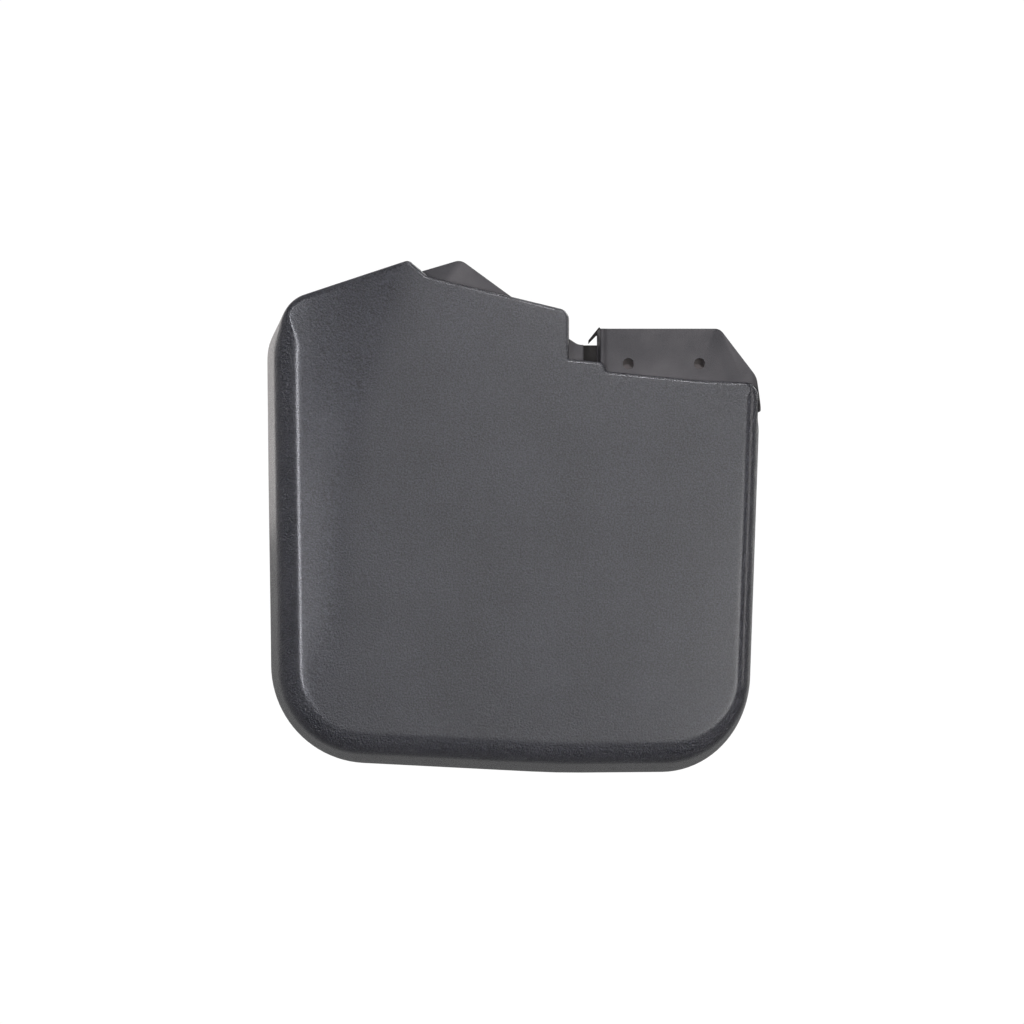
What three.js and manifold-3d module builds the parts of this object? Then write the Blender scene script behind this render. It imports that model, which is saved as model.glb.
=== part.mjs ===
// A moulded mud flap for the front left wheel of a van: a dished outer shell, a mounting plate screwed to
// its back, and a steel strap riveted behind the plate's screw pad so that the two grip the edge of the
// bodywork between them.
//
// Units are millimetres. +X runs inboard, +Y towards the wheel and +Z up. The finished face of the shell
// looks along -Y. The origin is midway between the two fixing holes, on the back face of the screw pad.
// While the parts are made, Y is the depth behind the front plane of the shell's face; the group then moves
// them forward by PAD_BACK.

import * as THREE from "three";
import { mergeVertices } from "three/addons/utils/BufferGeometryUtils.js";
import Module from "manifold-3d";

const wasm = await Module();
wasm.setup();

const GAP = 0.3; // between pieces that touch
const DEG = Math.PI / 180;

// --- driving dimensions ---

const WALL = 3; // thickness of both mouldings
const SHELL_DEPTH = 42; // front of the face to the rim
const DRAFT = { left: 13.5 * DEG, right: 7 * DEG, bottom: 14.7 * DEG, top: 5 * DEG };
const ROLL = { left: 19, right: 8.5, bottom: 15 }; // radius from the face into a side wall
const TOP_RADIUS = { outboard: 4, inboard: 1.6 };
const FACE_CENTRE = { x: -91.5, z: -97 };

const PLATE_FRONT = 8; // depth of the plate behind the shell's top edge
const SCOOP_DEPTH = 12.8; // depth of the plate in the notch beside the pad
const PAD_FRONT = 5;
const PAD_RIM = 4.2; // raised rib at the outboard end of the pad
const PAD_BACK = PAD_FRONT + WALL;
const PLATE_BOTTOM = -45;

const HOLE_SPACING = 42;
const HOLE_RADIUS = 3.3; // M6 clearance

const SLOT = 8.3; // between the pad and the strap
const STRAP_FRONT = PAD_BACK + SLOT;
const STRAP_THICKNESS = 2;

const SCREW_PLACES = [
  [-148, 24],
  [-100, 18],
  [-150, -28],
  [-112, -32],
  [-74, -32],
  [40, -32],
];
const RIVET_PLACES = [
  [-20, -31],
  [16, -31],
];
const CUP_END = 17; // depth where the plate's screw cups end and the washers start

// --- small helpers ---

const clamp01 = (t) => Math.min(1, Math.max(0, t));
const lerp = (a, b, t) => a + (b - a) * t;

function smooth(t) {
  const c = clamp01(t);
  return c * c * (3 - 2 * c);
}

function toSolid(geometry) {
  const bare = geometry.clone();
  bare.deleteAttribute("normal");
  bare.deleteAttribute("uv");
  const merged = mergeVertices(bare, 1e-4);
  return new wasm.Manifold(
    new wasm.Mesh({
      numProp: 3,
      vertProperties: merged.attributes.position.array,
      triVerts: new Uint32Array(merged.index.array),
    }),
  );
}

function toGeometry(solid) {
  const mesh = solid.getMesh();
  const geometry = new THREE.BufferGeometry();
  geometry.setAttribute("position", new THREE.BufferAttribute(mesh.vertProperties, 3));
  geometry.setIndex(new THREE.BufferAttribute(mesh.triVerts, 1));
  geometry.computeVertexNormals();
  return geometry;
}

// A shape drawn in X and Z, made solid between two depths.
function slab(shape, front, back, curveSegments = 8) {
  const settings = { depth: back - front, bevelEnabled: false, curveSegments };
  const geometry = new THREE.ExtrudeGeometry(shape, settings);
  geometry.rotateX(Math.PI / 2);
  geometry.translate(0, back, 0);
  return toSolid(geometry);
}

// A round bar along Y from one depth to another.
function bar(radius, front, back, x, z, segments = 24) {
  const geometry = new THREE.CylinderGeometry(radius, radius, back - front, segments);
  geometry.translate(x, (front + back) / 2, z);
  return toSolid(geometry);
}

function box(x0, x1, front, back, z0, z1) {
  const geometry = new THREE.BoxGeometry(x1 - x0, back - front, z1 - z0);
  geometry.translate((x0 + x1) / 2, (front + back) / 2, (z0 + z1) / 2);
  return toSolid(geometry);
}

// --- outlines with filleted corners ---

// Walks a closed outline clockwise as seen from the front. Each corner is [x, z, fillet radius].
// Gives stations {x, z, nx, nz} with the outward normal, closer together on the fillets.
// A radius of 0 marks a point on a straight run.
function walk(corners, arcStep = 15 * DEG, runStep = 22) {
  const count = corners.length;
  const fillets = corners.map(([x, z, radius], i) => {
    const before = corners[(i + count - 1) % count];
    const after = corners[(i + 1) % count];
    const inward = new THREE.Vector2(x - before[0], z - before[1]).normalize();
    const onward = new THREE.Vector2(after[0] - x, after[1] - z).normalize();
    if (radius === 0) return [{ x, z, nx: -inward.y, nz: inward.x }];
    const turn = Math.atan2(inward.x * onward.y - inward.y * onward.x, inward.dot(onward));
    const side = Math.sign(turn); // -1 at a corner that sticks out
    const tangent = radius * Math.tan(Math.abs(turn) / 2);
    const normal = new THREE.Vector2(-inward.y, inward.x);
    const start = new THREE.Vector2(x, z).addScaledVector(inward, -tangent);
    const centre = start.clone().addScaledVector(normal, side * radius);
    const steps = Math.max(2, Math.ceil(Math.abs(turn) / arcStep));
    return Array.from({ length: steps + 1 }, (_, k) => {
      const n = normal.clone().rotateAround(new THREE.Vector2(), (turn * k) / steps);
      const p = centre.clone().addScaledVector(n, -side * radius);
      return { x: p.x, z: p.y, nx: n.x, nz: n.y };
    });
  });
  const stations = [];
  fillets.forEach((fillet, i) => {
    stations.push(...fillet);
    const from = fillet.at(-1);
    const to = fillets[(i + 1) % count][0];
    const runs = Math.ceil(Math.hypot(to.x - from.x, to.z - from.z) / runStep);
    for (let k = 1; k < runs; k++) {
      const t = k / runs;
      stations.push({ ...from, x: lerp(from.x, to.x, t), z: lerp(from.z, to.z, t) });
    }
  });
  return stations;
}

function shapeOf(corners, arcStep, runStep) {
  const points = walk(corners, arcStep, runStep).map(({ x, z }) => new THREE.Vector2(x, z));
  return new THREE.Shape(points.reverse());
}

// --- outer shell ---

// Where the planes of the face and of the walls would meet with no roll between them.
const SHELL_OUTLINE = [
  [-222.8, 37.4, 19], // outboard top corner
  [-151, 60.6, 3], // peak
  [-139.5, 51, 8],
  [-56.9, 31, 6],
  [-56.9, 2.4, 1.5], // notch
  [-36.6, 0.4, 3],
  [-33.9, -5.0, 2.5], // outboard end of the pad's recess
  [24, -10.6, 60],
  [55.6, -11.6, 8], // inboard top corner
  [54.72, -29.5, 0], // the inboard wall drops back between these two
  [54.38, -39, 0],
  [47.6, -233.6, 49],
  [-62.6, -234.5, 500],
  [-225.0, -226.2, 49],
  [-228.6, 9, 60], // the outboard wall ends above here
  [-226.7, 18.2, 0],
];

// Outboard of a soft crease the face falls away towards the wheel. The crease leans inboard above its bend.
const CREASE = { foot: -187, lean: 0.275, bendZ: -75, bendLength: 20, softness: 9 };
const FALL = { slope: 0.04, bow: 0.0006, fadeFrom: -140, fadeTo: -225 };

function faceDepth(x, z) {
  const up = z - CREASE.bendZ;
  const crease = CREASE.foot + (CREASE.lean * (up + Math.hypot(up, CREASE.bendLength))) / 2;
  const past = Math.max(0, crease - x + CREASE.softness);
  const soft = past < 2 * CREASE.softness ? (past * past) / (4 * CREASE.softness) : past - CREASE.softness;
  const fade = smooth((z - FALL.fadeTo) / (FALL.fadeFrom - FALL.fadeTo));
  return fade * (FALL.slope * soft + FALL.bow * soft * soft);
}

// 0 where the face's edge has only a small round, 1 where it rolls fully into a side.
function rollShare(x, z) {
  return smooth(x < FACE_CENTRE.x ? (34 - z) / 24 : (-11 - z) / 8);
}

// 0 where the rim stops just behind the face, 1 where the wall is full depth.
function wallShare(x, z) {
  return smooth(x < FACE_CENTRE.x ? (33 - z) / 24 : (-29.5 - z) / 9.5);
}

// The section of the shell at one station, as [distance out from the outline, depth] from the face to the
// rim. inset is how far inside the outer surface the section runs.
function section(station, inset, rimAt) {
  const { x, z, nx, nz } = station;
  const share = wallShare(x, z);
  const draft =
    nx * nx * (nx < 0 ? DRAFT.left : DRAFT.right) + nz * nz * (nz < 0 ? DRAFT.bottom : DRAFT.top);
  const sideRadius = lerp(ROLL.bottom, nx < 0 ? ROLL.left : ROLL.right, nx * nx);
  const topRadius = lerp(TOP_RADIUS.outboard, TOP_RADIUS.inboard, smooth((x + 166) / 14));
  const fullRadius = lerp(topRadius, sideRadius, rollShare(x, z));
  const radius = inset ? Math.max(fullRadius - inset, 0.6) : fullRadius;
  const base = faceDepth(x - nx * fullRadius, z - nz * fullRadius);
  const tangent = (radius * (1 - Math.sin(draft))) / Math.cos(draft);
  const corner = inset * Math.tan(draft) - inset / Math.cos(draft);
  const topRim = lerp(PLATE_FRONT - GAP, PAD_RIM - GAP - 0.2, smooth((x + 48) / 6));
  const rim = rimAt ?? Math.max(lerp(topRim, SHELL_DEPTH, share), base + Math.max(fullRadius, WALL) + 0.7);
  const steps = radius > 2 ? 4 : 2;
  const points = Array.from({ length: 5 }, (_, k) => {
    const angle = (Math.min(k, steps) / steps) * (Math.PI / 2 - draft);
    const spread = k > steps ? (k - steps) * 0.02 : 0; // keeps the spare points of a tight roll apart
    const depth = base + inset + radius * (1 - Math.cos(angle)) + spread;
    return [corner - tangent + radius * Math.sin(angle) + spread * Math.tan(draft), depth];
  });
  points.push([(rim - base) * Math.tan(draft) - inset / Math.cos(draft), rim]);
  return points;
}

// Rings of points from a pole in the middle of the face out to the rim.
function surfaceRings(stations, inset, rimAt) {
  const sections = stations.map((station) => section(station, inset, rimAt));
  const edge = stations.map(({ x, z, nx, nz }, i) => {
    const out = sections[i][0][0];
    return [x + nx * out, z + nz * out];
  });
  const faceRings = [0.439, 0.692, 0.872].map((scale) =>
    edge.map(([x, z]) => {
      const px = lerp(FACE_CENTRE.x, x, scale);
      const pz = lerp(FACE_CENTRE.z, z, scale);
      return new THREE.Vector3(px, faceDepth(px, pz) + inset, pz);
    }),
  );
  const sideRings = sections[0].map((_, k) =>
    stations.map(({ x, z, nx, nz }, i) => {
      const [out, depth] = sections[i][k];
      return new THREE.Vector3(x + nx * out, depth, z + nz * out);
    }),
  );
  return [...faceRings, ...sideRings];
}

// A closed solid through rings of equal length, with a pole point at each end.
function skin(rings, firstPole, lastPole) {
  const count = rings[0].length;
  const positions = [firstPole, ...rings.flat(), lastPole].flatMap((p) => p.toArray());
  const last = rings.length * count + 1;
  const index = [];
  const at = (ring, i) => 1 + ring * count + (i % count);
  for (let i = 0; i < count; i++) {
    index.push(0, at(0, i + 1), at(0, i));
    for (let ring = 0; ring + 1 < rings.length; ring++) {
      index.push(at(ring, i), at(ring, i + 1), at(ring + 1, i + 1));
      index.push(at(ring, i), at(ring + 1, i + 1), at(ring + 1, i));
    }
    index.push(last, at(rings.length - 1, i), at(rings.length - 1, i + 1));
  }
  const geometry = new THREE.BufferGeometry();
  geometry.setAttribute("position", new THREE.Float32BufferAttribute(positions, 3));
  geometry.setIndex(index);
  return toSolid(geometry);
}

const RIB = {
  thickness: 2.4,
  front: 1.5,
  back: 13,
  trimInset: 1.2,
  trimDepth: 20,
  top: -56,
  bottom: -240,
  uprights: [-173.2, -130.2, -87.2, -44.2, -1.2],
  levels: [-70, -114, -158, -202],
};
const BOSS = { radius: 4.5, pilot: 2.3, front: 1.5, back: CUP_END - GAP, pilotFront: 7 };

function outerShell() {
  const stations = walk(SHELL_OUTLINE);
  const pole = (depth) => new THREE.Vector3(FACE_CENTRE.x, depth, FACE_CENTRE.z);
  const outside = surfaceRings(stations, 0);
  const inside = surfaceRings(stations, WALL).reverse();
  let shell = skin([...outside, ...inside], pole(0), pole(WALL));

  const trimRings = surfaceRings(stations, RIB.trimInset, RIB.trimDepth);
  const trim = skin(trimRings, pole(RIB.trimInset), pole(RIB.trimDepth));
  const half = RIB.thickness / 2;
  const uprights = RIB.uprights.map((x) => box(x - half, x + half, RIB.front, RIB.back, RIB.bottom, RIB.top));
  const levels = RIB.levels.map((z) => box(-245, 70, RIB.front, RIB.back, z - half, z + half));
  const ribs = [...uprights, ...levels].reduce((all, rib) => all.add(rib));
  shell = shell.add(ribs.intersect(trim));
  for (const [x, z] of SCREW_PLACES) {
    shell = shell.add(bar(BOSS.radius, BOSS.front, BOSS.back, x, z));
    shell = shell.subtract(bar(BOSS.pilot, BOSS.pilotFront, BOSS.back + 1, x, z, 16));
  }
  return shell;
}

// --- mounting plate ---

const PLATE_OUTLINE = [
  [-170, 46.9, 8],
  [-120.1, 61.7, 7], // peak that stands above the shell
  [-56.5, 15.2, 14],
  [-50.6, 11.4, 8],
  [-47.4, 11.4, 0.5],
  [-47.4, -4, 1], // slit beside the pad
  [-39.3, -4, 1],
  [-39.3, 20.7, 2.2],
  [33, 20.7, 6],
  [54.9, -8, 12], // chamfer down to the ear
  [58.2, -28.5, 2],
  [49.2, -28.5, 1],
  [49.2, PLATE_BOTTOM, 5],
  [-170, PLATE_BOTTOM, 8],
];

// The plate seen from above: one sheet, folded forward at the pad and back at the inboard ear.
function platePlan() {
  const ear = { x: 57.8, radius: 7, depth: 19 };
  const plan = new THREE.Shape();
  plan.moveTo(-172, PLATE_FRONT);
  plan.lineTo(-60, PLATE_FRONT);
  plan.bezierCurveTo(-54, PLATE_FRONT, -52, PLATE_FRONT + 0.8, -48, PLATE_FRONT + 1);
  plan.bezierCurveTo(-46.6, PLATE_FRONT + 1.1, -46.2, SCOOP_DEPTH, -44.2, SCOOP_DEPTH);
  plan.lineTo(-39.1, SCOOP_DEPTH);
  plan.lineTo(-37.7, PAD_RIM + 0.9);
  plan.quadraticCurveTo(-37.5, PAD_RIM, -36.7, PAD_RIM);
  plan.lineTo(-34.9, PAD_RIM);
  plan.lineTo(-33.6, PAD_FRONT);
  plan.lineTo(ear.x - ear.radius, PAD_FRONT);
  plan.absarc(ear.x - ear.radius, PAD_FRONT + ear.radius, ear.radius, -Math.PI / 2, 0, false);
  plan.lineTo(ear.x, ear.depth);
  plan.lineTo(ear.x - WALL, ear.depth);
  plan.lineTo(ear.x - WALL, PAD_FRONT + ear.radius);
  plan.absarc(ear.x - ear.radius, PAD_FRONT + ear.radius, ear.radius - WALL, 0, -Math.PI / 2, true);
  plan.lineTo(-34.2, PAD_BACK);
  plan.lineTo(-36.4, SCOOP_DEPTH + WALL);
  plan.lineTo(-45, SCOOP_DEPTH + WALL);
  plan.bezierCurveTo(-48, SCOOP_DEPTH + WALL, -49, PLATE_FRONT + WALL + 0.6, -52, PLATE_FRONT + WALL + 0.3);
  plan.lineTo(-61, PLATE_FRONT + WALL);
  plan.lineTo(-172, PLATE_FRONT + WALL);
  plan.closePath();
  return plan;
}

// Room for the shell's inboard top corner, in front of the ear.
const CORNER_RELIEF = [
  [47.6, -11.1, 0.05],
  [56.7, -11.2, 8.6],
  [56.2, -50, 0.1],
  [47.6, -50, 0.1],
];
const CUP = { radius: 7.5, bore: 4.9 };
const SPACER = { radius: 6, bore: 2.4, boreFront: PAD_FRONT + 1.5 };

function mountingPlate() {
  const tall = new THREE.ExtrudeGeometry(platePlan(), { depth: 130, bevelEnabled: false, curveSegments: 6 });
  tall.translate(0, 0, -60);
  let plate = toSolid(tall).intersect(slab(shapeOf(PLATE_OUTLINE, 18 * DEG, 1000), 0, 30));

  const flange = box(-162, -62, PLATE_FRONT + 1, 19, PLATE_BOTTOM, PLATE_BOTTOM + 2.6);
  const padFlange = box(-34, 44, PAD_FRONT + 1, STRAP_FRONT - 2, PLATE_BOTTOM, PLATE_BOTTOM + 2.6);
  plate = plate.add(flange).add(padFlange);
  for (const [x, z] of SCREW_PLACES) {
    plate = plate.add(bar(CUP.radius, PAD_FRONT + (x < 0 ? 4 : 1), CUP_END, x, z));
    plate = plate.subtract(bar(CUP.bore, 0, CUP_END + 1, x, z));
  }
  for (const [x, z] of RIVET_PLACES) {
    plate = plate.add(bar(SPACER.radius, PAD_FRONT + 1, STRAP_FRONT - GAP, x, z));
    plate = plate.subtract(bar(SPACER.bore, SPACER.boreFront, STRAP_FRONT + 1, x, z, 16));
  }
  for (const side of [-1, 1]) {
    plate = plate.subtract(bar(HOLE_RADIUS, 0, PAD_BACK + 1, (side * HOLE_SPACING) / 2, 0, 32));
  }
  return plate.subtract(slab(shapeOf(CORNER_RELIEF, 15 * DEG, 1000), 0, 11.2));
}

// --- backing strap, rivets, screws and washers ---

const STRAP_OUTLINE = [
  [-36, 20.4, 2],
  [-37.9, 22.5, 0.3], // barb that hooks behind the bodywork
  [-44.3, 14.6, 2],
  [-44.5, 12.3, 0.2],
  [-38.7, 18.3, 0.8],
  [-38.2, 11.6, 0.4],
  [-48.6, 11.6, 0.6], // end behind the slit
  [-48.6, -6, 2],
  [-35, -12, 3],
  [-34.6, -38, 4],
  [29, -38, 4],
  [29, 14, 5],
  [-28, 14, 4],
].reverse();

function backingStrap() {
  const points = walk(STRAP_OUTLINE, 25 * DEG, 1000).map(({ x, z }) => new THREE.Vector2(x, z));
  const shape = new THREE.Shape(points);
  let strap = slab(shape, STRAP_FRONT, STRAP_FRONT + STRAP_THICKNESS);
  for (const [x, z] of RIVET_PLACES) {
    strap = strap.subtract(bar(SPACER.bore, STRAP_FRONT - 1, STRAP_FRONT + 3, x, z, 16));
  }
  return strap;
}

// A turned piece along Y from a profile of [radius, depth] points that starts and ends on the axis.
function turned(profile, segments = 20) {
  const points = profile.map(([radius, depth]) => new THREE.Vector2(radius, depth));
  return toSolid(new THREE.LatheGeometry(points, segments));
}

// A dome-headed rivet, its head against the strap.
function rivet() {
  const under = STRAP_FRONT + STRAP_THICKNESS + GAP;
  return turned([
    [0, SPACER.boreFront + GAP],
    [2.1, SPACER.boreFront + GAP],
    [2.1, under],
    [4.5, under],
    [4.5, under + 0.7],
    [3.4, under + 1.8],
    [1.8, under + 2.3],
    [0, under + 2.4],
  ]);
}

const WASHER = { bore: 2.6, radius: 7, thickness: 1.2 };
const HEAD_UNDER = CUP_END + GAP + WASHER.thickness + GAP;

function washer() {
  const back = CUP_END + GAP + WASHER.thickness;
  const points = [
    [WASHER.bore, CUP_END + GAP],
    [WASHER.radius, CUP_END + GAP],
    [WASHER.radius, back],
    [WASHER.bore, back],
    [WASHER.bore, CUP_END + GAP],
  ];
  return turned(points, 28);
}

// A pan-head screw with a hexagon recess, its point towards the shell.
function screw() {
  const socket = { radius: 1.9, depth: 1.8 };
  const top = HEAD_UNDER + 2.9;
  const body = turned([
    [0, BOSS.pilotFront + 1],
    [0.8, BOSS.pilotFront + 1],
    [2, BOSS.pilotFront + 3],
    [2, HEAD_UNDER],
    [4.3, HEAD_UNDER],
    [4.3, HEAD_UNDER + 1.4],
    [3.2, top],
    [0, top],
  ]);
  return body.subtract(bar(socket.radius, top - socket.depth, top + 1, 0, 0, 6));
}

// --- the assembly ---

const MATERIALS = {
  grained: new THREE.MeshStandardMaterial({ color: 0x37373a, roughness: 0.62, metalness: 0 }),
  smooth: new THREE.MeshStandardMaterial({ color: 0x38383b, roughness: 0.5, metalness: 0 }),
  zinc: new THREE.MeshStandardMaterial({ color: 0xa9aaa6, roughness: 0.38, metalness: 1 }),
  blackSteel: new THREE.MeshStandardMaterial({ color: 0x1c1c1e, roughness: 0.45, metalness: 0.6 }),
};

const flap = new THREE.Group();
flap.position.y = -PAD_BACK;

function place(name, solid, material, x = 0, z = 0) {
  const mesh = new THREE.Mesh(toGeometry(solid), material);
  mesh.name = name;
  mesh.position.set(x, 0, z);
  flap.add(mesh);
}

place("outer_shell", outerShell(), MATERIALS.grained);
place("mounting_plate", mountingPlate(), MATERIALS.smooth);
place("backing_strap", backingStrap(), MATERIALS.blackSteel);
RIVET_PLACES.forEach(([x, z], i) => place(`strap_rivet_${i + 1}`, rivet(), MATERIALS.zinc, x, z));
SCREW_PLACES.forEach(([x, z], i) => {
  place(`plate_washer_${i + 1}`, washer(), MATERIALS.zinc, x, z);
  place(`plate_screw_${i + 1}`, screw(), MATERIALS.zinc, x, z);
});

export default flap;
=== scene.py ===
"""Looks for the moulded mud flap: fine meshes, procedural plastics and steels, a pale studio.

Lengths inside the shape code are millimetres, with Y as the depth behind the front plane of the shell's
face, as in the part's source. They become metres in the row's frame when a mesh is made.
"""

import math

import bmesh
import bpy
import numpy as np
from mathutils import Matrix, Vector


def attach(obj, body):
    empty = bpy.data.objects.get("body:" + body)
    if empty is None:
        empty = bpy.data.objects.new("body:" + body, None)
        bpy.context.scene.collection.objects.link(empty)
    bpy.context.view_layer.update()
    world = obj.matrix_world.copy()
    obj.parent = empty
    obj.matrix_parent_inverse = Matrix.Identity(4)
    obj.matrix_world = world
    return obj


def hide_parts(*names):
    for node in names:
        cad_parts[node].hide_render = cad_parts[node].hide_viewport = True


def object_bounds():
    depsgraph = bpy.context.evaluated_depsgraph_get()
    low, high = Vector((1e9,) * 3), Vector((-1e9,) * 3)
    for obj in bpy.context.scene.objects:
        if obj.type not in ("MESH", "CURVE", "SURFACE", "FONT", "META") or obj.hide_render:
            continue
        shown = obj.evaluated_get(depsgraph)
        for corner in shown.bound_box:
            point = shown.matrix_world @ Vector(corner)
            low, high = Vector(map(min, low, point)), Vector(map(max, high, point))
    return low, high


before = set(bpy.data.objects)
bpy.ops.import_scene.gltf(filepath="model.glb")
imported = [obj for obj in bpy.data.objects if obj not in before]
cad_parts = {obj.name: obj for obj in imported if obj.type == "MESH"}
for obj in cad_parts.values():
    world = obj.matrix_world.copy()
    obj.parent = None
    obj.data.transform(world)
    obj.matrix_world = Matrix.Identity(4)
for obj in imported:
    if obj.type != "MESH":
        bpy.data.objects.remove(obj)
CAD_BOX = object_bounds()

MM = 0.001
DEG = math.pi / 180
PAD_BACK = 8.0

# --- shapes shared by the shell and the plate ---


def lerp(a, b, t):
    return a + (b - a) * t


def smooth(t):
    c = np.clip(t, 0.0, 1.0)
    return c * c * (3 - 2 * c)


def walk(corners, arc_step=4.0, run_step=4.0):
    """Stations [x, z, nx, nz] along a closed outline, clockwise from the front.

    A corner is (x, z, fillet radius). A radius of 0 marks a point on a straight run.
    """
    count = len(corners)
    fillets = []
    for i, (x, z, radius) in enumerate(corners):
        here = np.array([x, z])
        inward = here - corners[i - 1][:2]
        onward = np.array(corners[(i + 1) % count][:2]) - here
        inward, onward = inward / np.hypot(*inward), onward / np.hypot(*onward)
        normal = np.array([-inward[1], inward[0]])
        if radius == 0:
            fillets.append([[x, z, *normal]])
            continue
        turn = math.atan2(inward[0] * onward[1] - inward[1] * onward[0], inward @ onward)
        side = math.copysign(1, turn)
        centre = here - inward * radius * math.tan(abs(turn) / 2) + normal * side * radius
        steps = max(2, math.ceil(abs(turn) / (arc_step * DEG)))
        points = []
        for k in range(steps + 1):
            c, s = math.cos(turn * k / steps), math.sin(turn * k / steps)
            n = np.array([normal[0] * c - normal[1] * s, normal[0] * s + normal[1] * c])
            points.append([*(centre - n * side * radius), *n])
        fillets.append(points)
    stations = []
    for i, points in enumerate(fillets):
        stations += points
        start, end = points[-1], fillets[(i + 1) % count][0]
        runs = math.ceil(math.hypot(end[0] - start[0], end[1] - start[1]) / run_step)
        for k in range(1, runs):
            t = k / runs
            stations.append([lerp(start[0], end[0], t), lerp(start[1], end[1], t), start[2], start[3]])
    return np.array(stations)


def new_object(name, vertices, faces):
    """A mesh object from points in millimetres and depth."""
    co = np.array(vertices, float) * MM
    co[:, 1] -= PAD_BACK * MM
    mesh = bpy.data.meshes.new(name)
    mesh.from_pydata(co.tolist(), [], faces)
    mesh.validate()
    obj = bpy.data.objects.new(name, mesh)
    bpy.context.scene.collection.objects.link(obj)
    bm = bmesh.new()
    bm.from_mesh(mesh)
    bmesh.ops.recalc_face_normals(bm, faces=bm.faces)
    bm.to_mesh(mesh)
    bm.free()
    return obj


def loft(name, rings, first_pole=None, last_pole=None):
    """A skin through rings of equal length; a pole closes each end, or the ring itself does."""
    count = len(rings[0])
    vertices = [tuple(p) for ring in rings for p in ring]
    faces = []
    for r in range(len(rings) - 1):
        for i in range(count):
            j = (i + 1) % count
            faces.append((r * count + i, r * count + j, (r + 1) * count + j, (r + 1) * count + i))
    for pole, ring in ((first_pole, 0), (last_pole, len(rings) - 1)):
        loop = [ring * count + i for i in range(count)]
        if pole is None:
            faces.append(tuple(loop))
            continue
        vertices.append(tuple(pole))
        faces += [(loop[i], loop[(i + 1) % count], len(vertices) - 1) for i in range(count)]
    return new_object(name, vertices, faces)


def prism(name, outline, low, high, axis="y"):
    """A polygon made solid.

    Along 'y' its outline is in x and z and it runs in depth; along 'z' its outline is in x and depth.
    """
    if axis == "y":
        rings = [[(p[0], level, p[1]) for p in outline] for level in (low, high)]
    else:
        rings = [[(p[0], p[1], level) for p in outline] for level in (low, high)]
    return loft(name, rings)


def block(name, x0, x1, y0, y1, z0, z1):
    return prism(name, [(x0, z0), (x1, z0), (x1, z1), (x0, z1)], y0, y1)


def turned(name, profile, x, z, segments=48):
    """A piece turned about a line in depth. Its profile of (radius, depth) starts and ends on that line."""
    angles = [2 * math.pi * k / segments for k in range(segments)]
    rings = [[(x + r * math.cos(a), d, z + r * math.sin(a)) for a in angles] for r, d in profile[1:-1]]
    return loft(name, rings, (x, profile[0][1], z), (x, profile[-1][1], z))


def bar(name, radius, low, high, x, z, segments=48):
    return turned(name, [(0, low), (radius, low), (radius, high), (0, high)], x, z, segments)


def combine(obj, other, operation):
    """obj joined with, or cut by, other, which is used up."""
    modifier = obj.modifiers.new("combine", "BOOLEAN")
    modifier.object = other
    modifier.operation = operation
    modifier.solver = "MANIFOLD"
    apply_modifiers(obj)
    bpy.data.objects.remove(other)


def apply_modifiers(obj):
    graph = bpy.context.evaluated_depsgraph_get()
    mesh = bpy.data.meshes.new_from_object(obj.evaluated_get(graph))
    obj.modifiers.clear()
    obj.data = mesh


def round_edges(obj, width, segments=2, angle=32):
    """Small rounds on every sharp edge. Many-sided faces become triangles, so that they shade evenly."""
    modifier = obj.modifiers.new("rounds", "BEVEL")
    modifier.width = width * MM
    modifier.segments = segments
    modifier.limit_method = "ANGLE"
    modifier.angle_limit = angle * DEG
    modifier.miter_outer = "MITER_ARC"
    apply_modifiers(obj)
    bm = bmesh.new()
    bm.from_mesh(obj.data)
    bmesh.ops.dissolve_degenerate(bm, dist=2e-6, edges=bm.edges)
    bmesh.ops.triangulate(bm, faces=[f for f in bm.faces if len(f.verts) > 4])
    bm.to_mesh(obj.data)
    bm.free()


def shade(obj, angle=38):
    obj.data.shade_smooth()
    obj.data.set_sharp_from_angle(angle=angle * DEG)
    modifier = obj.modifiers.new("even_normals", "WEIGHTED_NORMAL")
    modifier.keep_sharp = True
    modifier.weight = 60


def mark_edges(obj):
    """A vertex attribute that is 1 on outside corners and fades to 0 away from them, for wear."""
    bm = bmesh.new()
    bm.from_mesh(obj.data)
    bend = np.zeros(len(bm.verts))
    for e in bm.edges:
        if len(e.link_faces) == 2 and e.is_convex:
            turn = e.calc_face_angle(0.0)
            for v in e.verts:
                bend[v.index] = max(bend[v.index], min(1.0, turn / (25 * DEG)))
    wear = bend.copy()
    for e in bm.edges:
        a, b = e.verts[0].index, e.verts[1].index
        if e.calc_length() < 2 * MM:
            wear[a] = max(wear[a], bend[b] * 0.5)
            wear[b] = max(wear[b], bend[a] * 0.5)
    bm.free()
    attribute = obj.data.attributes.new("wear", "FLOAT", "POINT")
    attribute.data.foreach_set("value", wear.astype(np.float32))


# --- outer shell ---

WALL = 3.0
SHELL_DEPTH = 42.0
DRAFT_LEFT, DRAFT_RIGHT, DRAFT_BOTTOM, DRAFT_TOP = 13.5 * DEG, 7 * DEG, 14.7 * DEG, 5 * DEG
ROLL_LEFT, ROLL_RIGHT, ROLL_BOTTOM = 19.0, 8.5, 15.0
TOP_RADIUS_OUT, TOP_RADIUS_IN = 4.0, 1.6
FACE_CENTRE = np.array([-91.5, -97.0])
PLATE_FRONT = 8.0
PAD_RIM = 4.2
GAP = 0.3
RIM_ROUND = 0.55

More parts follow.
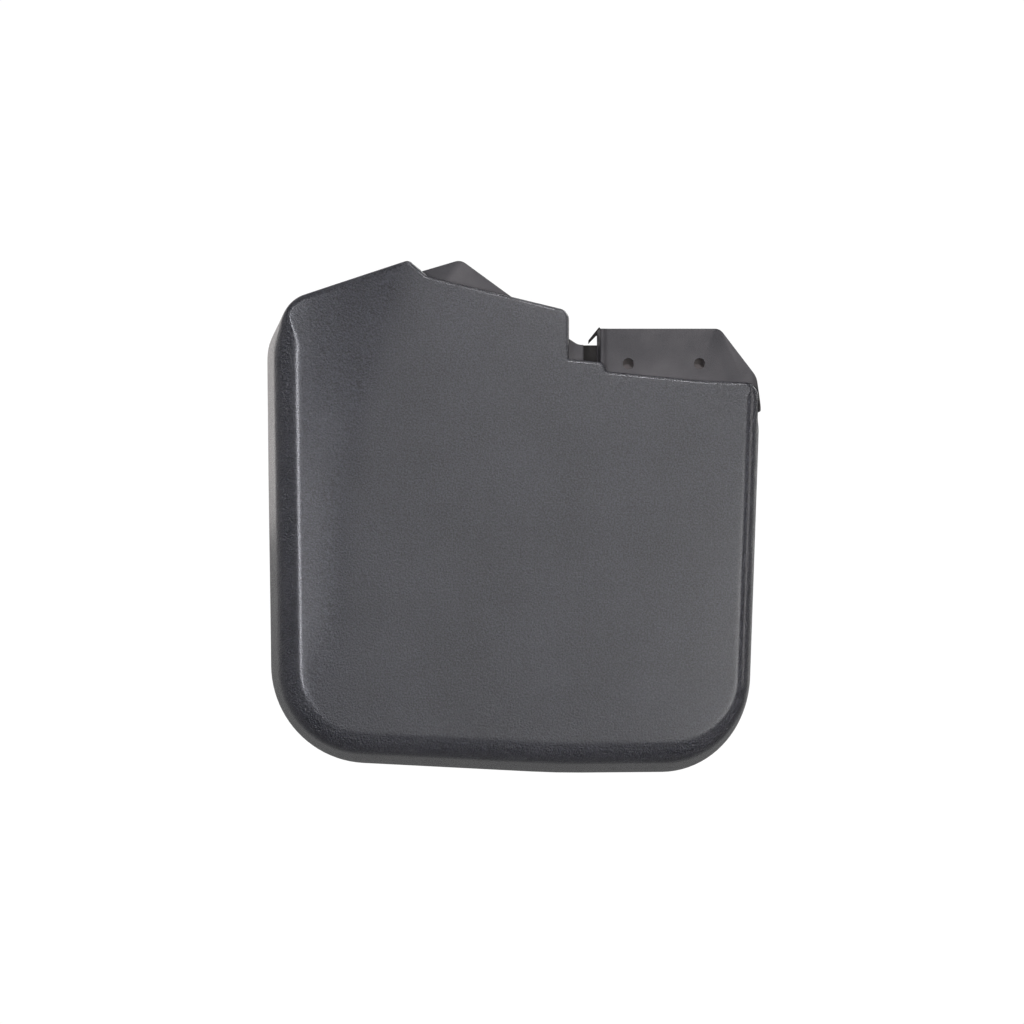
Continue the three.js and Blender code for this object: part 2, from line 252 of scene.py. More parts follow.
SHELL_OUTLINE = [
    (-222.8, 37.4, 19),
    (-151, 60.6, 3),
    (-139.5, 51, 8),
    (-56.9, 31, 6),
    (-56.9, 2.4, 1.5),
    (-36.6, 0.4, 3),
    (-33.9, -5.0, 2.5),
    (24, -10.6, 60),
    (55.6, -11.6, 8),
    (54.72, -29.5, 0),
    (54.38, -39, 0),
    (47.6, -233.6, 49),
    (-62.6, -234.5, 500),
    (-225.0, -226.2, 49),
    (-228.6, 9, 60),
    (-226.7, 18.2, 0),
]

CREASE_FOOT, CREASE_LEAN, CREASE_SOFTNESS = -187.0, 0.275, 9.0
CREASE_BEND_Z, CREASE_BEND_LENGTH = -75.0, 20.0
FALL_SLOPE, FALL_BOW, FALL_FADE_FROM, FALL_FADE_TO = 0.04, 0.0006, -140.0, -225.0


def face_depth(x, z):
    """The face falls back outboard of a soft crease that runs down from the peak."""
    up = z - CREASE_BEND_Z
    crease = CREASE_FOOT + CREASE_LEAN * (up + np.hypot(up, CREASE_BEND_LENGTH)) / 2
    past = np.maximum(0, crease - x + CREASE_SOFTNESS)
    soft = np.where(past < 2 * CREASE_SOFTNESS, past**2 / (4 * CREASE_SOFTNESS), past - CREASE_SOFTNESS)
    fade = smooth((z - FALL_FADE_TO) / (FALL_FADE_FROM - FALL_FADE_TO))
    return fade * (FALL_SLOPE * soft + FALL_BOW * soft**2)


def roll_share(x, z):
    """0 where the face's edge has only a small round, 1 where it rolls fully into a side."""
    return np.where(x < FACE_CENTRE[0], smooth((34 - z) / 24), smooth((-11 - z) / 8))


def wall_share(x, z):
    """0 where the rim stops just behind the face, 1 where the wall is full depth."""
    return np.where(x < FACE_CENTRE[0], smooth((33 - z) / 24), smooth((-29.5 - z) / 9.5))


def shell_sections(stations, inset, rim_inset=0.0):
    """Rings from the face's edge round the roll and down the wall, each as points (x, depth, z)."""
    x, z, nx, nz = stations.T
    share, roll = wall_share(x, z), roll_share(x, z)
    side_draft = np.where(nx < 0, DRAFT_LEFT, DRAFT_RIGHT)
    end_draft = np.where(nz < 0, DRAFT_BOTTOM, DRAFT_TOP)
    draft = nx**2 * side_draft + nz**2 * end_draft
    side_radius = lerp(ROLL_BOTTOM, np.where(nx < 0, ROLL_LEFT, ROLL_RIGHT), nx**2)
    top_radius = lerp(TOP_RADIUS_OUT, TOP_RADIUS_IN, smooth((x + 166) / 14))
    full = lerp(top_radius, side_radius, roll)
    radius = np.maximum(full - inset, 0.6) if inset else full
    base = face_depth(x - nx * full, z - nz * full)
    tan_d, cos_d, sin_d = np.tan(draft), np.cos(draft), np.sin(draft)

    def wall_out(depth):
        return (depth - base) * tan_d - inset / cos_d

    start_out = -(radius * (1 - sin_d) / cos_d) - inset
    for _ in range(5):
        ex, ez = x + nx * start_out, z + nz * start_out
        start_depth = face_depth(ex, ez) + inset
        slope = face_depth(ex + nx * 0.5, ez + nz * 0.5) - face_depth(ex - nx * 0.5, ez - nz * 0.5)
        tilt = np.arctan(slope)
        end_depth = start_depth + radius * (np.cos(tilt) - sin_d)
        start_out = wall_out(end_depth) - radius * (cos_d - np.sin(tilt))
    rim_top = lerp(PLATE_FRONT - GAP, PAD_RIM - GAP - 0.2, smooth((x + 48) / 6))
    rim = np.maximum(lerp(rim_top, SHELL_DEPTH, share), base + np.maximum(full, WALL) + 0.7) - rim_inset
    rings = []
    roll_steps, wall_steps = 12, 7
    for k in range(roll_steps + 1):
        angle = lerp(tilt, math.pi / 2 - draft, k / roll_steps)
        out = start_out + radius * (np.sin(angle) - np.sin(tilt))
        depth = start_depth + radius * (np.cos(tilt) - np.cos(angle))
        rings.append(np.stack([x + nx * out, depth, z + nz * out], 1))
    for k in range(1, wall_steps + 1):
        depth = lerp(end_depth, rim, k / wall_steps)
        out = wall_out(depth)
        rings.append(np.stack([x + nx * out, depth, z + nz * out], 1))
    return rings


def face_rings(edge, inset):
    """Rings from the middle of the face out to just inside its edge."""
    shares = [0.04, *np.arange(0.1, 0.9, 0.04), 0.9, 0.925, 0.95, 0.97, 0.985]
    rings = []
    for share in shares:
        x = lerp(FACE_CENTRE[0], edge[:, 0], share)
        z = lerp(FACE_CENTRE[1], edge[:, 2], share)
        rings.append(np.stack([x, face_depth(x, z) + inset, z], 1))
    return rings


def rim_rings(outer, inner):
    """Two rounds and a narrow flat between the outer wall and the inner wall."""
    across = inner - outer
    width = np.linalg.norm(across, axis=1, keepdims=True)
    across = across / width
    back = np.array([[0.0, 1.0, 0.0]])
    rings = []
    for k in range(1, 4):
        a = k / 3 * math.pi / 2
        rings.append(outer + across * RIM_ROUND * (1 - math.cos(a)) + back * RIM_ROUND * math.sin(a))
    for k in range(3, 0, -1):
        a = k / 3 * math.pi / 2
        rings.append(inner - across * RIM_ROUND * (1 - math.cos(a)) + back * RIM_ROUND * math.sin(a))
    return rings


RIB_HALF, RIB_BACK = 1.2, 13.0
RIB_TOP = -56.0
RIB_UPRIGHTS = [-173.2, -130.2, -87.2, -44.2, -1.2]
RIB_LEVELS = [-70, -114, -158, -202]
SCREW_PLACES = [(-148, 24), (-100, 18), (-150, -28), (-112, -32), (-74, -32), (40, -32)]
BOSS_RADIUS, PILOT_RADIUS = 4.5, 2.3
CUP_RADIUS, CUP_BORE, CUP_END = 7.5, 4.9, 17.0


def crossings(ring, axis, value):
    """Where a ring crosses x = value (axis 0) or z = value (axis 2), as points."""
    after = np.roll(ring, -1, axis=0)
    a, b = ring[:, axis] - value, after[:, axis] - value
    hit = np.nonzero(a * b < 0)[0]
    t = (a[hit] / (a[hit] - b[hit]))[:, None]
    return ring[hit] + (after[hit] - ring[hit]) * t


def rib_end(middle, axis, value, pick):
    """(depths, places along the rib) where the rib runs into the middle of the wall."""
    along = 2 - axis
    found = [pick(crossings(ring, axis, value), key=lambda p: p[along]) for ring in middle]
    return [p[1] for p in found], [p[along] for p in found]


def rib(name, axis, value, low, high):
    """One rib with a rounded back edge and a flared foot. low and high are a number or a wall profile."""
    ends = []
    for end in (low, high):
        ends.append((lambda d, e=end: e) if np.isscalar(end) else (lambda d, e=end: float(np.interp(d, *e))))
    start, stop = ends[0](6.0), ends[1](6.0)
    steps = max(2, int(abs(stop - start) / 7))
    rings = []
    for k in range(steps + 1):
        place = lerp(start, stop, k / steps)
        x, z = (value, place) if axis == 0 else (place, value)
        root = float(face_depth(np.array(x), np.array(z))) + WALL
        half = [
            (2.3, root - 0.6),
            (2.0, root - 0.05),
            (1.55, root + 0.35),
            (1.3, root + 1.1),
            (RIB_HALF * 0.85, RIB_BACK - 0.7),
            (RIB_HALF * 0.6, RIB_BACK - 0.2),
            (RIB_HALF * 0.2, RIB_BACK),
        ]
        ring = []
        for across, depth in half + [(-a, d) for a, d in reversed(half)]:
            here = ends[0](depth) if k == 0 else ends[1](depth) if k == steps else place
            ring.append((value + across, depth, here) if axis == 0 else (here, depth, value + across))
        rings.append(ring)
    return loft(name, rings)


def boss(x, z):
    """A screw boss with a flared foot on the back of the face."""
    root = float(face_depth(np.array(x), np.array(z))) + WALL
    end = CUP_END - GAP
    profile = [(0, 1.5), (6.2, 1.5), (6.2, root), (5.2, root + 0.5), (4.6, root + 1.5)]
    profile += [(BOSS_RADIUS, end - 0.4), (BOSS_RADIUS - 0.4, end), (0, end)]
    return turned("boss", profile, x, z, 32)


def outer_shell():
    stations = walk(SHELL_OUTLINE)
    outside = shell_sections(stations, 0.0, RIM_ROUND)
    inside = shell_sections(stations, WALL, RIM_ROUND)
    outer = face_rings(outside[0], 0.0) + outside
    inner = face_rings(inside[0], WALL) + inside
    rings = outer + rim_rings(outside[-1], inside[-1]) + inner[::-1]
    cx, cz = FACE_CENTRE
    shell = loft("shell_moulding", rings, (cx, 0, cz), (cx, WALL, cz))
    middle = shell_sections(stations, WALL / 2)
    ribs = []
    for x in RIB_UPRIGHTS:
        ribs.append(rib("rib", 0, x, rib_end(middle, 0, x, min), RIB_TOP))
    for z in RIB_LEVELS:
        ribs.append(rib("rib", 2, z, rib_end(middle, 2, z, min), rib_end(middle, 2, z, max)))
    for piece in ribs:
        combine(shell, piece, "UNION")
    for x, z in SCREW_PLACES:
        combine(shell, boss(x, z), "UNION")
        combine(shell, bar("pilot", PILOT_RADIUS, 7, CUP_END + 1, x, z, 24), "DIFFERENCE")
    return shell


# --- mounting plate ---

PAD_FRONT = 5.0
SCOOP_DEPTH = 12.8
PLATE_BOTTOM = -45.0
SLOT = 8.3
STRAP_FRONT = PAD_BACK + SLOT
STRAP_THICKNESS = 2.0
HOLE_SPACING, HOLE_RADIUS = 42.0, 3.3
RIVET_PLACES = [(-20, -31), (16, -31)]
SPACER_RADIUS, SPACER_BORE = 6.0, 2.4
RIVET_SEAT = PAD_FRONT + 1.5
CORNER_RELIEF = [(47.6, -11.1, 0.05), (56.7, -11.2, 8.6), (56.2, -50, 0.1), (47.6, -50, 0.1)]

PLATE_OUTLINE = [
    (-170, 46.9, 8),
    (-120.1, 61.7, 7),
    (-56.5, 15.2, 14),
    (-50.6, 11.4, 8),
    (-47.4, 11.4, 0.5),
    (-47.4, -4, 1),
    (-39.3, -4, 1),
    (-39.3, 20.7, 2.2),
    (33, 20.7, 6),
    (54.9, -8, 12),
    (58.2, -28.5, 2),
    (49.2, -28.5, 1),
    (49.2, PLATE_BOTTOM, 5),
    (-170, PLATE_BOTTOM, 8),
]


def curve(points, steps):
    """Points along a Bezier curve after its first point."""
    p = np.array(points, float)
    made = []
    for k in range(1, steps + 1):
        q = p.copy()
        while len(q) > 1:
            q = q[:-1] + (q[1:] - q[:-1]) * (k / steps)
        made.append(tuple(q[0]))
    return made


def arc(cx, cy, radius, start, end, steps):
    angles = [lerp(start, end, k / steps) * DEG for k in range(steps + 1)]
    return [(cx + radius * math.cos(a), cy + radius * math.sin(a)) for a in angles]


def plate_plan():
    """The plate seen from above, as (x, depth)."""
    ear_x, ear_radius, ear_depth = 57.8, 7.0, 19.0
    front, back, scoop = PLATE_FRONT, PLATE_FRONT + WALL, SCOOP_DEPTH + WALL
    points = [(-172, front), (-60, front)]
    points += curve([(-60, front), (-54, front), (-52, front + 0.8), (-48, front + 1)], 8)
    points += curve([(-48, front + 1), (-46.6, front + 1.1), (-46.2, SCOOP_DEPTH), (-44.2, SCOOP_DEPTH)], 10)
    points += [(-39.1, SCOOP_DEPTH), (-37.7, PAD_RIM + 0.9)]
    points += curve([(-37.7, PAD_RIM + 0.9), (-37.5, PAD_RIM), (-36.7, PAD_RIM)], 6)
    points += curve([(-36.7, PAD_RIM), (-34.9, PAD_RIM), (-34.7, PAD_FRONT), (-32.6, PAD_FRONT)], 8)
    points += arc(ear_x - ear_radius, PAD_FRONT + ear_radius, ear_radius, -90, 0, 16)
    points += [(ear_x, ear_depth), (ear_x - WALL, ear_depth)]
    points += arc(ear_x - ear_radius, PAD_FRONT + ear_radius, ear_radius - WALL, 0, -90, 12)
    points += [(-34.2, PAD_BACK), (-36.4, scoop), (-45, scoop)]
    points += curve([(-45, scoop), (-48, scoop), (-49, back + 0.6), (-52, back + 0.3)], 8)
    points += [(-61, back), (-172, back)]
    return points


def roll_edge(plate, start, end, depth, width):
    """A wide round on the plate's front edge along one straight side of its outline."""
    bm = bmesh.new()
    bm.from_mesh(plate.data)
    start, end = np.array(start), np.array(end)
    along = (end - start) / np.linalg.norm(end - start)
    chosen = []
    for e in bm.edges:
        if len(e.link_faces) != 2 or e.calc_face_angle(0.0) < 60 * DEG:
            continue
        places = [np.array([v.co.x, v.co.z]) / MM - start for v in e.verts]
        level = all(abs(v.co.y / MM + PAD_BACK - depth) < 0.01 for v in e.verts)
        inside = all(-0.5 < p @ along < np.linalg.norm(end - start) + 0.5 for p in places)
        if level and inside and all(abs(p[0] * along[1] - p[1] * along[0]) < 1.2 for p in places):
            chosen.append(e)
    settings = {"segments": 6, "profile": 0.5, "affect": "EDGES", "clamp_overlap": True}
    bmesh.ops.bevel(bm, geom=chosen, offset=width * MM, **settings)
    bm.to_mesh(plate.data)
    bm.free()


def mounting_plate():
    plate = prism("plate_moulding", plate_plan(), -60, 70, axis="z")
    outline = walk(PLATE_OUTLINE, 5.0, 1000.0)
    combine(plate, prism("outline", outline[:, :2].tolist(), 0, 30), "INTERSECT")
    for x0, x1, front, back in ((-162, -62, PLATE_FRONT + 1, 19), (-34, 44, PAD_FRONT + 1, STRAP_FRONT - 2)):
        combine(plate, block("flange", x0, x1, front, back, PLATE_BOTTOM, PLATE_BOTTOM + 2.6), "UNION")
    for x, z in SCREW_PLACES:
        combine(plate, bar("cup", CUP_RADIUS, PAD_FRONT + (4 if x < 0 else 1), CUP_END, x, z), "UNION")
        combine(plate, bar("bore", CUP_BORE, 0, CUP_END + 1, x, z), "DIFFERENCE")
    for x, z in RIVET_PLACES:
        combine(plate, bar("spacer", SPACER_RADIUS, PAD_FRONT + 1, STRAP_FRONT - GAP, x, z), "UNION")
        combine(plate, bar("bore", SPACER_BORE, RIVET_SEAT, STRAP_FRONT + 1, x, z, 24), "DIFFERENCE")
    for x in (-HOLE_SPACING / 2, HOLE_SPACING / 2):
        combine(plate, bar("hole", HOLE_RADIUS, 0, PAD_BACK + 1, x, 0, 64), "DIFFERENCE")
    relief = walk(CORNER_RELIEF, 5.0, 1000.0)
    combine(plate, prism("relief", relief[:, :2].tolist(), 0, 11.2), "DIFFERENCE")
    roll_edge(plate, (-168, 47.5), (-121.5, 61.3), PLATE_FRONT, 2.3)
    roll_edge(plate, (-31, 20.7), (47, 20.7), PAD_FRONT, 1.0)
    roll_edge(plate, (33, 20.7), (49, -0.2), PAD_FRONT, 1.3)
    round_edges(plate, 0.35)
    return plate


# --- backing strap, rivets, screws and washers ---

STRAP_OUTLINE = [
    (-36, 20.4, 2),
    (-37.9, 22.5, 0.3),
    (-44.3, 14.6, 2),
    (-44.5, 12.3, 0.2),
    (-38.7, 18.3, 0.8),
    (-38.2, 11.6, 0.4),
    (-48.6, 11.6, 0.6),
    (-48.6, -6, 2),
    (-35, -12, 3),
    (-34.6, -38, 4),
    (29, -38, 4),
    (29, 14, 5),
    (-28, 14, 4),
]


def backing_strap():
    outline = walk(STRAP_OUTLINE[::-1], 5.0, 1000.0)
    strap = prism("strap_pressing", outline[:, :2].tolist(), STRAP_FRONT, STRAP_FRONT + STRAP_THICKNESS)
    for x, z in RIVET_PLACES:
        combine(strap, bar("bore", SPACER_BORE, STRAP_FRONT - 1, STRAP_FRONT + 3, x, z, 24), "DIFFERENCE")
    round_edges(strap, 0.3)
    return strap


def rivet(name, x, z):
    """A dome-headed rivet, its head against the strap."""
    start, under = RIVET_SEAT + GAP, STRAP_FRONT + STRAP_THICKNESS + GAP
    dome = [(4.5 * math.cos(a * DEG), under + 0.55 + 1.85 * math.sin(a * DEG)) for a in range(0, 90, 10)]
    profile = [(0, start), (2.1, start), (2.1, under), (4.3, under), (4.5, under + 0.2)]
    return turned(name, [*profile, *dome, (0, under + 2.4)], x, z)


WASHER_THICKNESS = 1.2


def washer(name, x, z):
    """A flat ring with its four edges broken."""
    low, high = CUP_END + GAP, CUP_END + GAP + WASHER_THICKNESS
    edge = 0.18
    profile = [
        (2.6, low + edge),
        (2.6 + edge, low),
        (7 - edge, low),
        (7, low + edge),
        (7, high - edge),
        (7 - edge, high),
        (2.6 + edge, high),
        (2.6, high - edge),
    ]
    segments = 56
    angles = [2 * math.pi * k / segments for k in range(segments)]
    vertices, faces = [], []
    for r, d in profile:
        vertices += [(x + r * math.cos(a), d, z + r * math.sin(a)) for a in angles]
    count = len(profile)
    for p in range(count):
        for i in range(segments):
            j, q = (i + 1) % segments, (p + 1) % count
            faces.append((p * segments + i, p * segments + j, q * segments + j, q * segments + i))
    return new_object(name, vertices, faces)


def screw(name, x, z):
    """A pan-head screw with a hexagon recess, its point towards the shell."""
    under = CUP_END + GAP + WASHER_THICKNESS + GAP
    start, top = 8.0, under + 2.9
    angles = [a * DEG for a in range(0, 91, 10)]
    crown = [(3.2 + 1.1 * math.cos(a), under + 1.5 + 1.4 * math.sin(a)) for a in angles]
    profile = [(0, start), (0.8, start), (2, start + 2), (2, under), (4.1, under), (4.3, under + 0.2)]
    body = turned(name, [*profile, *crown, (0, top)], x, z)
    combine(body, bar("socket", 1.9, top - 1.8, top + 1, x, z, 6), "DIFFERENCE")
    round_edges(body, 0.12, 2, 40)
    return body


# --- materials ---


def nodes_of(name):
    material = bpy.data.materials.new(name)
    material.use_nodes = True
    tree = material.node_tree
    return material, tree, tree.nodes["Principled BSDF"]


def noise(tree, coordinates, scale, detail=2.0, roughness=0.5):
    node = tree.nodes.new("ShaderNodeTexNoise")
    node.inputs["Scale"].default_value = scale
    node.inputs["Detail"].default_value = detail
    node.inputs["Roughness"].default_value = roughness
    tree.links.new(coordinates, node.inputs["Vector"])
    return node.outputs["Fac"]


def spread(tree, value, low, high, out_low, out_high):
    node = tree.nodes.new("ShaderNodeMapRange")
    node.clamp = True
    tree.links.new(value, node.inputs["Value"])
    for socket, number in zip(("From Min", "From Max", "To Min", "To Max"), (low, high, out_low, out_high)):
        node.inputs[socket].default_value = number
    return node.outputs["Result"]


def maths(tree, operation, a, b):
    node = tree.nodes.new("ShaderNodeMath")
    node.operation = operation
    for socket, value in zip(node.inputs, (a, b)):
        if isinstance(value, (int, float)):
            socket.default_value = value
        else:
            tree.links.new(value, socket)
    return node.outputs[0]


def mix_colours(tree, factor, a, b):
    node = tree.nodes.new("ShaderNodeMix")
    node.data_type = "RGBA"
    tree.links.new(factor, node.inputs["Factor"])
    for socket, value in ((node.inputs["A"], a), (node.inputs["B"], b)):
        if isinstance(value, (tuple, list)):
            socket.default_value = (*value, 1)
        else:
            tree.links.new(value, socket)
    return node.outputs["Result"]


def wear_of(tree):
    node = tree.nodes.new("ShaderNodeAttribute")
    node.attribute_name = "wear"
    return node.outputs["Fac"]


def bump(tree, height, strength, distance, under=None):
    node = tree.nodes.new("ShaderNodeBump")
    node.inputs["Strength"].default_value = strength
    node.inputs["Distance"].default_value = distance
    tree.links.new(height, node.inputs["Height"])
    if under is not None:
        tree.links.new(under, node.inputs["Normal"])
    return node.outputs["Normal"]


def plastic(name, dark, light, worn, grain_scale, grain_depth, roughness, specular, sheen_coat):
    """Moulded plastic: stipple grain, soft blotches, fine flecks, and edges rubbed a little paler."""
    material, tree, shader = nodes_of(name)
    where = tree.nodes.new("ShaderNodeTexCoord").outputs["Object"]
    grain = noise(tree, where, grain_scale, 3.0, 0.6)
    pits = noise(tree, where, grain_scale * 1.5, 1.0, 0.5)
    blotch = noise(tree, where, 22.0, 3.0, 0.55)
    height = maths(tree, "ADD", grain, maths(tree, "MULTIPLY", pits, 0.4))
    fleck = spread(tree, pits, 0.35, 0.72, 0.0, 1.0)
    tone = maths(tree, "ADD", maths(tree, "MULTIPLY", fleck, 0.7), maths(tree, "MULTIPLY", blotch, 0.3))
    colour = mix_colours(tree, tone, dark, light)
    rub = maths(tree, "MULTIPLY", wear_of(tree), spread(tree, blotch, 0.35, 0.65, 0.25, 0.9))
    colour = mix_colours(tree, rub, colour, worn)
    tree.links.new(colour, shader.inputs["Base Color"])
    rough = spread(tree, maths(tree, "ADD", grain, blotch), 0.6, 1.4, roughness - 0.05, roughness + 0.06)
    tree.links.new(rough, shader.inputs["Roughness"])
    shader.inputs["Specular IOR Level"].default_value = specular
    shader.inputs["Coat Weight"].default_value = sheen_coat
    shader.inputs["Coat Roughness"].default_value = 0.2
    wave = bump(tree, noise(tree, where, 14.0, 1.0, 0.4), 0.12, 0.0008)
    tree.links.new(bump(tree, height, 0.9, grain_depth, wave), shader.inputs["Normal"])
    return material


def steel(name, dark, light, metallic, roughness, specular, shade_below_x=None):
    """Painted or plated steel with fine drawn grain, blotches and rubbed edges.

    The last argument is the X, in metres, left of which the steel is painted near-black: painted shade
    standing for the shadow in the notch beside the pad and on the strap's tongue.
    """
    material, tree, shader = nodes_of(name)
    where = tree.nodes.new("ShaderNodeTexCoord").outputs["Object"]
    stretch = tree.nodes.new("ShaderNodeMapping")
    stretch.inputs["Scale"].default_value = (1.0, 1.0, 0.12)
    tree.links.new(where, stretch.inputs["Vector"])
    drawn = noise(tree, stretch.outputs["Vector"], 2600.0, 2.0, 0.6)
    blotch = noise(tree, where, 160.0, 3.0, 0.6)
    tone = maths(tree, "ADD", maths(tree, "MULTIPLY", drawn, 0.4), maths(tree, "MULTIPLY", blotch, 0.6))
    colour = mix_colours(tree, spread(tree, tone, 0.35, 0.65, 0.0, 1.0), dark, light)
    most_rub = 0.7 if metallic else 0.12
    rub = maths(tree, "MULTIPLY", wear_of(tree), spread(tree, blotch, 0.4, 0.6, 0.0, most_rub))
    colour = mix_colours(tree, rub, colour, tuple(min(1.0, c * 1.7 + 0.03) for c in light))
    # Painted shade: near-black colour left of the given X, where the notch and the tongue lie in shadow.
    if shade_below_x is not None:
        split = tree.nodes.new("ShaderNodeSeparateXYZ")
        tree.links.new(where, split.inputs[0])
        edge = maths(tree, "ADD", split.outputs["X"], maths(tree, "MULTIPLY", blotch, 0.002))
        outside_painted_shade = spread(tree, edge, shade_below_x, shade_below_x + 0.001, 0.0, 1.0)
        colour = mix_colours(tree, outside_painted_shade, (0.004, 0.003, 0.0026), colour)
    tree.links.new(colour, shader.inputs["Base Color"])
    rough = spread(tree, tone, 0.3, 0.7, roughness - 0.07, roughness + 0.1)
    tree.links.new(rough, shader.inputs["Roughness"])
    shader.inputs["Metallic"].default_value = metallic
    shader.inputs["Specular IOR Level"].default_value = specular
    tree.links.new(bump(tree, tone, 0.35, 0.00006), shader.inputs["Normal"])
    return material


SHELL_PLASTIC = plastic(
    "shell_plastic",
    dark=(0.0, 0.0, 0.0),
    light=(0.04, 0.041, 0.052),
    worn=(0.042, 0.04, 0.043),
    grain_scale=760.0,
    grain_depth=0.003,
    roughness=0.36,
    specular=0.5,
    sheen_coat=0.35,
)
PLATE_PLASTIC = plastic(
    "plate_plastic",
    dark=(0.006, 0.0057, 0.007),
    light=(0.012, 0.0115, 0.014),
    worn=(0.05, 0.047, 0.049),
    grain_scale=1300.0,
    grain_depth=0.0002,
    roughness=0.5,
    specular=0.14,
    sheen_coat=0.03,
)
# The strap's end left of X = -0.033 m is painted near-black as shade for the shaded notch and tongue.
STRAP_STEEL = steel("strap_steel", (0.09, 0.08, 0.079), (0.125, 0.112, 0.11), 0.0, 0.5, 0.08, -0.033)
FASTENER_STEEL = steel("fastener_steel", (0.42, 0.42, 0.4), (0.62, 0.62, 0.58), 1.0, 0.34, 0.5)


def place(obj, material, slot, node, smooth_angle=38):
    """Finishes a piece, gives it its material and lets it stand for its CAD node."""
    mark_edges(obj)
    shade(obj, smooth_angle)
    obj.data.materials.clear()
    obj.data.materials.append(material)
    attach(obj, "root")
    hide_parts(node)


place(outer_shell(), SHELL_PLASTIC, "shell_plastic", "outer_shell", 30)
place(mounting_plate(), PLATE_PLASTIC, "plate_plastic", "mounting_plate")
place(backing_strap(), STRAP_STEEL, "strap_steel", "backing_strap")
for i, (x, z) in enumerate(RIVET_PLACES, 1):
    place(rivet(f"rivet_{i}", x, z), FASTENER_STEEL, "fastener_steel", f"strap_rivet_{i}")
for i, (x, z) in enumerate(SCREW_PLACES, 1):
    place(washer(f"washer_{i}", x, z), FASTENER_STEEL, "fastener_steel", f"plate_washer_{i}")
    place(screw(f"screw_{i}", x, z), FASTENER_STEEL, "fastener_steel", f"plate_screw_{i}")

# --- studio ---

low, high = (Vector(c) for c in CAD_BOX)
CENTRE = (low + high) / 2


def floor():
    """A pale floor some way below the part. It sends no light back up at it."""
    drop, size = 0.75, 2.6
    mesh = bpy.data.meshes.new("floor")
    z = low.z - drop
    corners = [(-size, -size, z), (size, -size, z), (size, size, z), (-size, size, z)]
    mesh.from_pydata(corners, [], [(0, 1, 2, 3)])
    obj = bpy.data.objects.new("floor", mesh)
    bpy.context.scene.collection.objects.link(obj)
    material, tree, shader = nodes_of("floor_paint")
    where = tree.nodes.new("ShaderNodeTexCoord").outputs["Object"]
    cloud = noise(tree, where, 3.0, 4.0, 0.6)
    paint = mix_colours(tree, cloud, (0.76, 0.76, 0.76), (0.82, 0.82, 0.82))
    tree.links.new(paint, shader.inputs["Base Color"])
    shader.inputs["Roughness"].default_value = 0.7
    shader.inputs["Emission Color"].default_value = (1, 1, 1, 1)
    shader.inputs["Emission Strength"].default_value = 0.93
    mesh.materials.append(material)
    obj.visible_glossy = obj.visible_diffuse = False


def softbox(name, azimuth, elevation, distance, width, height, power, colour=(1, 1, 1)):
    """An area light aimed at the object. Azimuth is degrees right of the viewer, elevation degrees up."""
    light = bpy.data.lights.new(name, "AREA")
    light.shape = "RECTANGLE"
    light.size, light.size_y = width, height
    light.energy = power
    light.color = colour
    obj = bpy.data.objects.new(name, light)
    a, e = azimuth * DEG, elevation * DEG
    away = Vector((math.sin(a) * math.cos(e), -math.cos(a) * math.cos(e), math.sin(e)))
    obj.location = CENTRE + away * distance
    obj.rotation_euler = (-away).to_track_quat("-Z", "Y").to_euler()
    bpy.context.scene.collection.objects.link(obj)


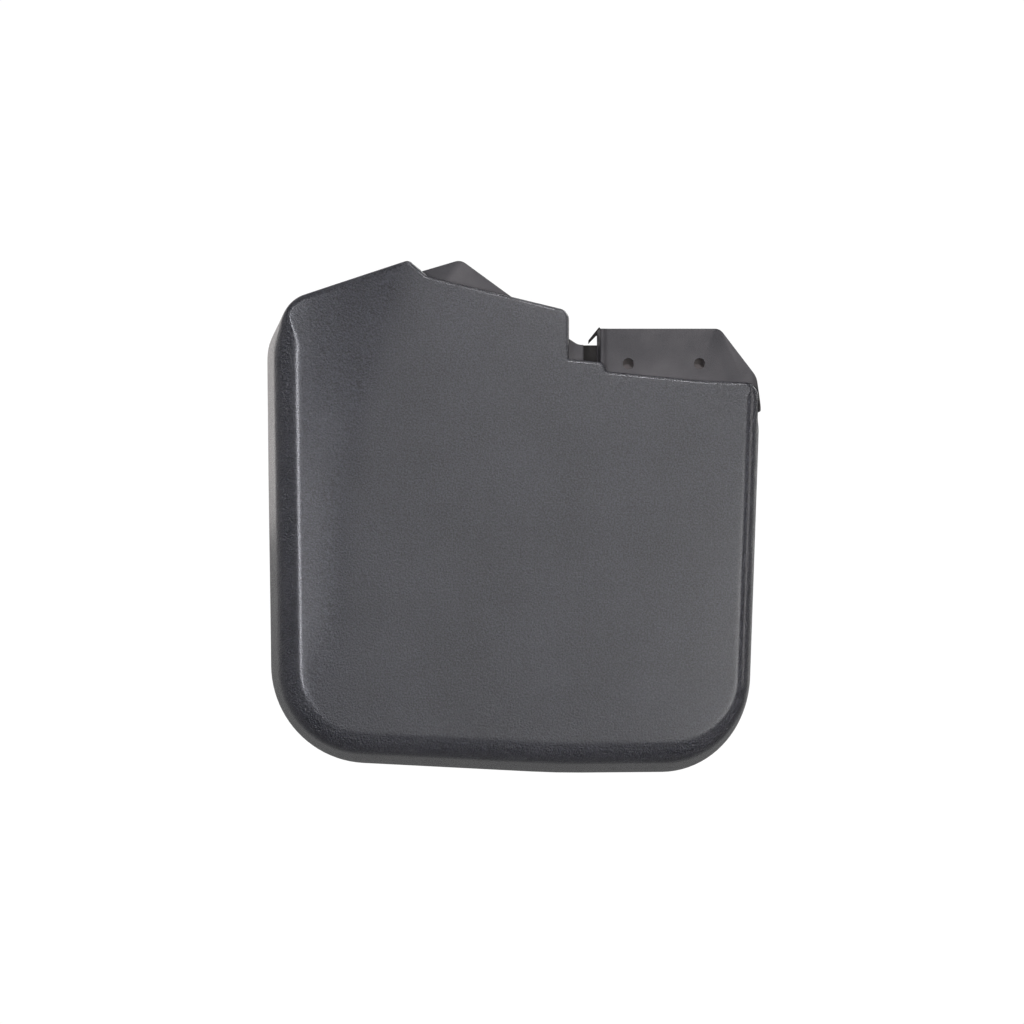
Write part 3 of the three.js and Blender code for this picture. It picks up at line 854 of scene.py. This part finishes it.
def studio_world():
    """White to the camera; for light, a bright white surface behind the object and a dim room around it."""
    world = bpy.data.worlds.new("studio")
    bpy.context.scene.world = world
    world.use_nodes = True
    tree = world.node_tree
    tree.nodes.clear()
    direction = tree.nodes.new("ShaderNodeTexCoord").outputs["Generated"]
    split = tree.nodes.new("ShaderNodeSeparateXYZ")
    tree.links.new(direction, split.inputs[0])
    ramp = tree.nodes.new("ShaderNodeValToRGB")
    ramp.color_ramp.interpolation = "EASE"
    stops = ramp.color_ramp.elements
    stops[0].position, stops[0].color = 0.0, (0.05, 0.05, 0.05, 1)
    stops[1].position, stops[1].color = 1.0, (1.0, 1.0, 1.0, 1)
    for position, level in ((0.3, 0.02), (0.5, 0.01), (0.68, 0.03), (0.82, 1.0)):
        stop = stops.new(position)
        stop.color = (level, level, level * 1.02, 1)
    tree.links.new(spread(tree, split.outputs["Y"], -1.0, 1.0, 0.0, 1.0), ramp.inputs[0])
    room = tree.nodes.new("ShaderNodeBackground")
    room.inputs["Strength"].default_value = 0.32
    tree.links.new(ramp.outputs[0], room.inputs["Color"])
    plain = tree.nodes.new("ShaderNodeBackground")
    plain.inputs["Color"].default_value = (1, 1, 1, 1)
    plain.inputs["Strength"].default_value = 1.02
    chooser = tree.nodes.new("ShaderNodeMixShader")
    seen = tree.nodes.new("ShaderNodeLightPath").outputs["Is Camera Ray"]
    tree.links.new(seen, chooser.inputs[0])
    tree.links.new(room.outputs[0], chooser.inputs[1])
    tree.links.new(plain.outputs[0], chooser.inputs[2])
    tree.links.new(chooser.outputs[0], tree.nodes.new("ShaderNodeOutputWorld").inputs[0])


floor()
studio_world()
softbox("key", 5, 17, 2.4, 0.26, 0.26, 34.0, (0.99, 0.98, 1.02))
softbox("front", 7, -2, 2.8, 1.5, 1.0, 15.5)
softbox("front_right", 18, -8, 2.8, 0.9, 0.8, 22.0)
softbox("strip_left", -27, 3, 2.2, 0.16, 1.0, 27.0, (0.97, 0.98, 1.05))
softbox("strip_soft", -16, -5, 2.2, 0.2, 0.8, 4.6, (0.97, 0.98, 1.05))
softbox("side_right", 68, 6, 2.2, 0.7, 1.4, 15.0, (1.0, 0.97, 0.96))
softbox("overhead", 0, 60, 1.8, 1.2, 0.4, 21.0)
softbox("rear_left", -148, 11, 2.4, 1.0, 1.0, 4.0, (1.0, 0.95, 0.93))
softbox("rear_right", 150, 28, 2.4, 1.0, 1.2, 30.0)

VIEW_DISTANCE = 1.505
VIEW_WIDTH = 0.604  # across the picture, at the depth of the shell's face
camera_data = bpy.data.cameras.new("camera")
camera_data.sensor_width = 36.0
camera_data.lens = 36.0 * VIEW_DISTANCE / VIEW_WIDTH
camera = bpy.data.objects.new("camera", camera_data)
camera.location = (CENTRE.x - 0.0006, low.y + 0.003 - VIEW_DISTANCE, CENTRE.z + 0.0046)
camera.rotation_euler = (math.pi / 2, 0, 0)
bpy.context.scene.collection.objects.link(camera)
bpy.context.scene.camera = camera
bpy.context.scene.view_settings.view_transform = "Standard"
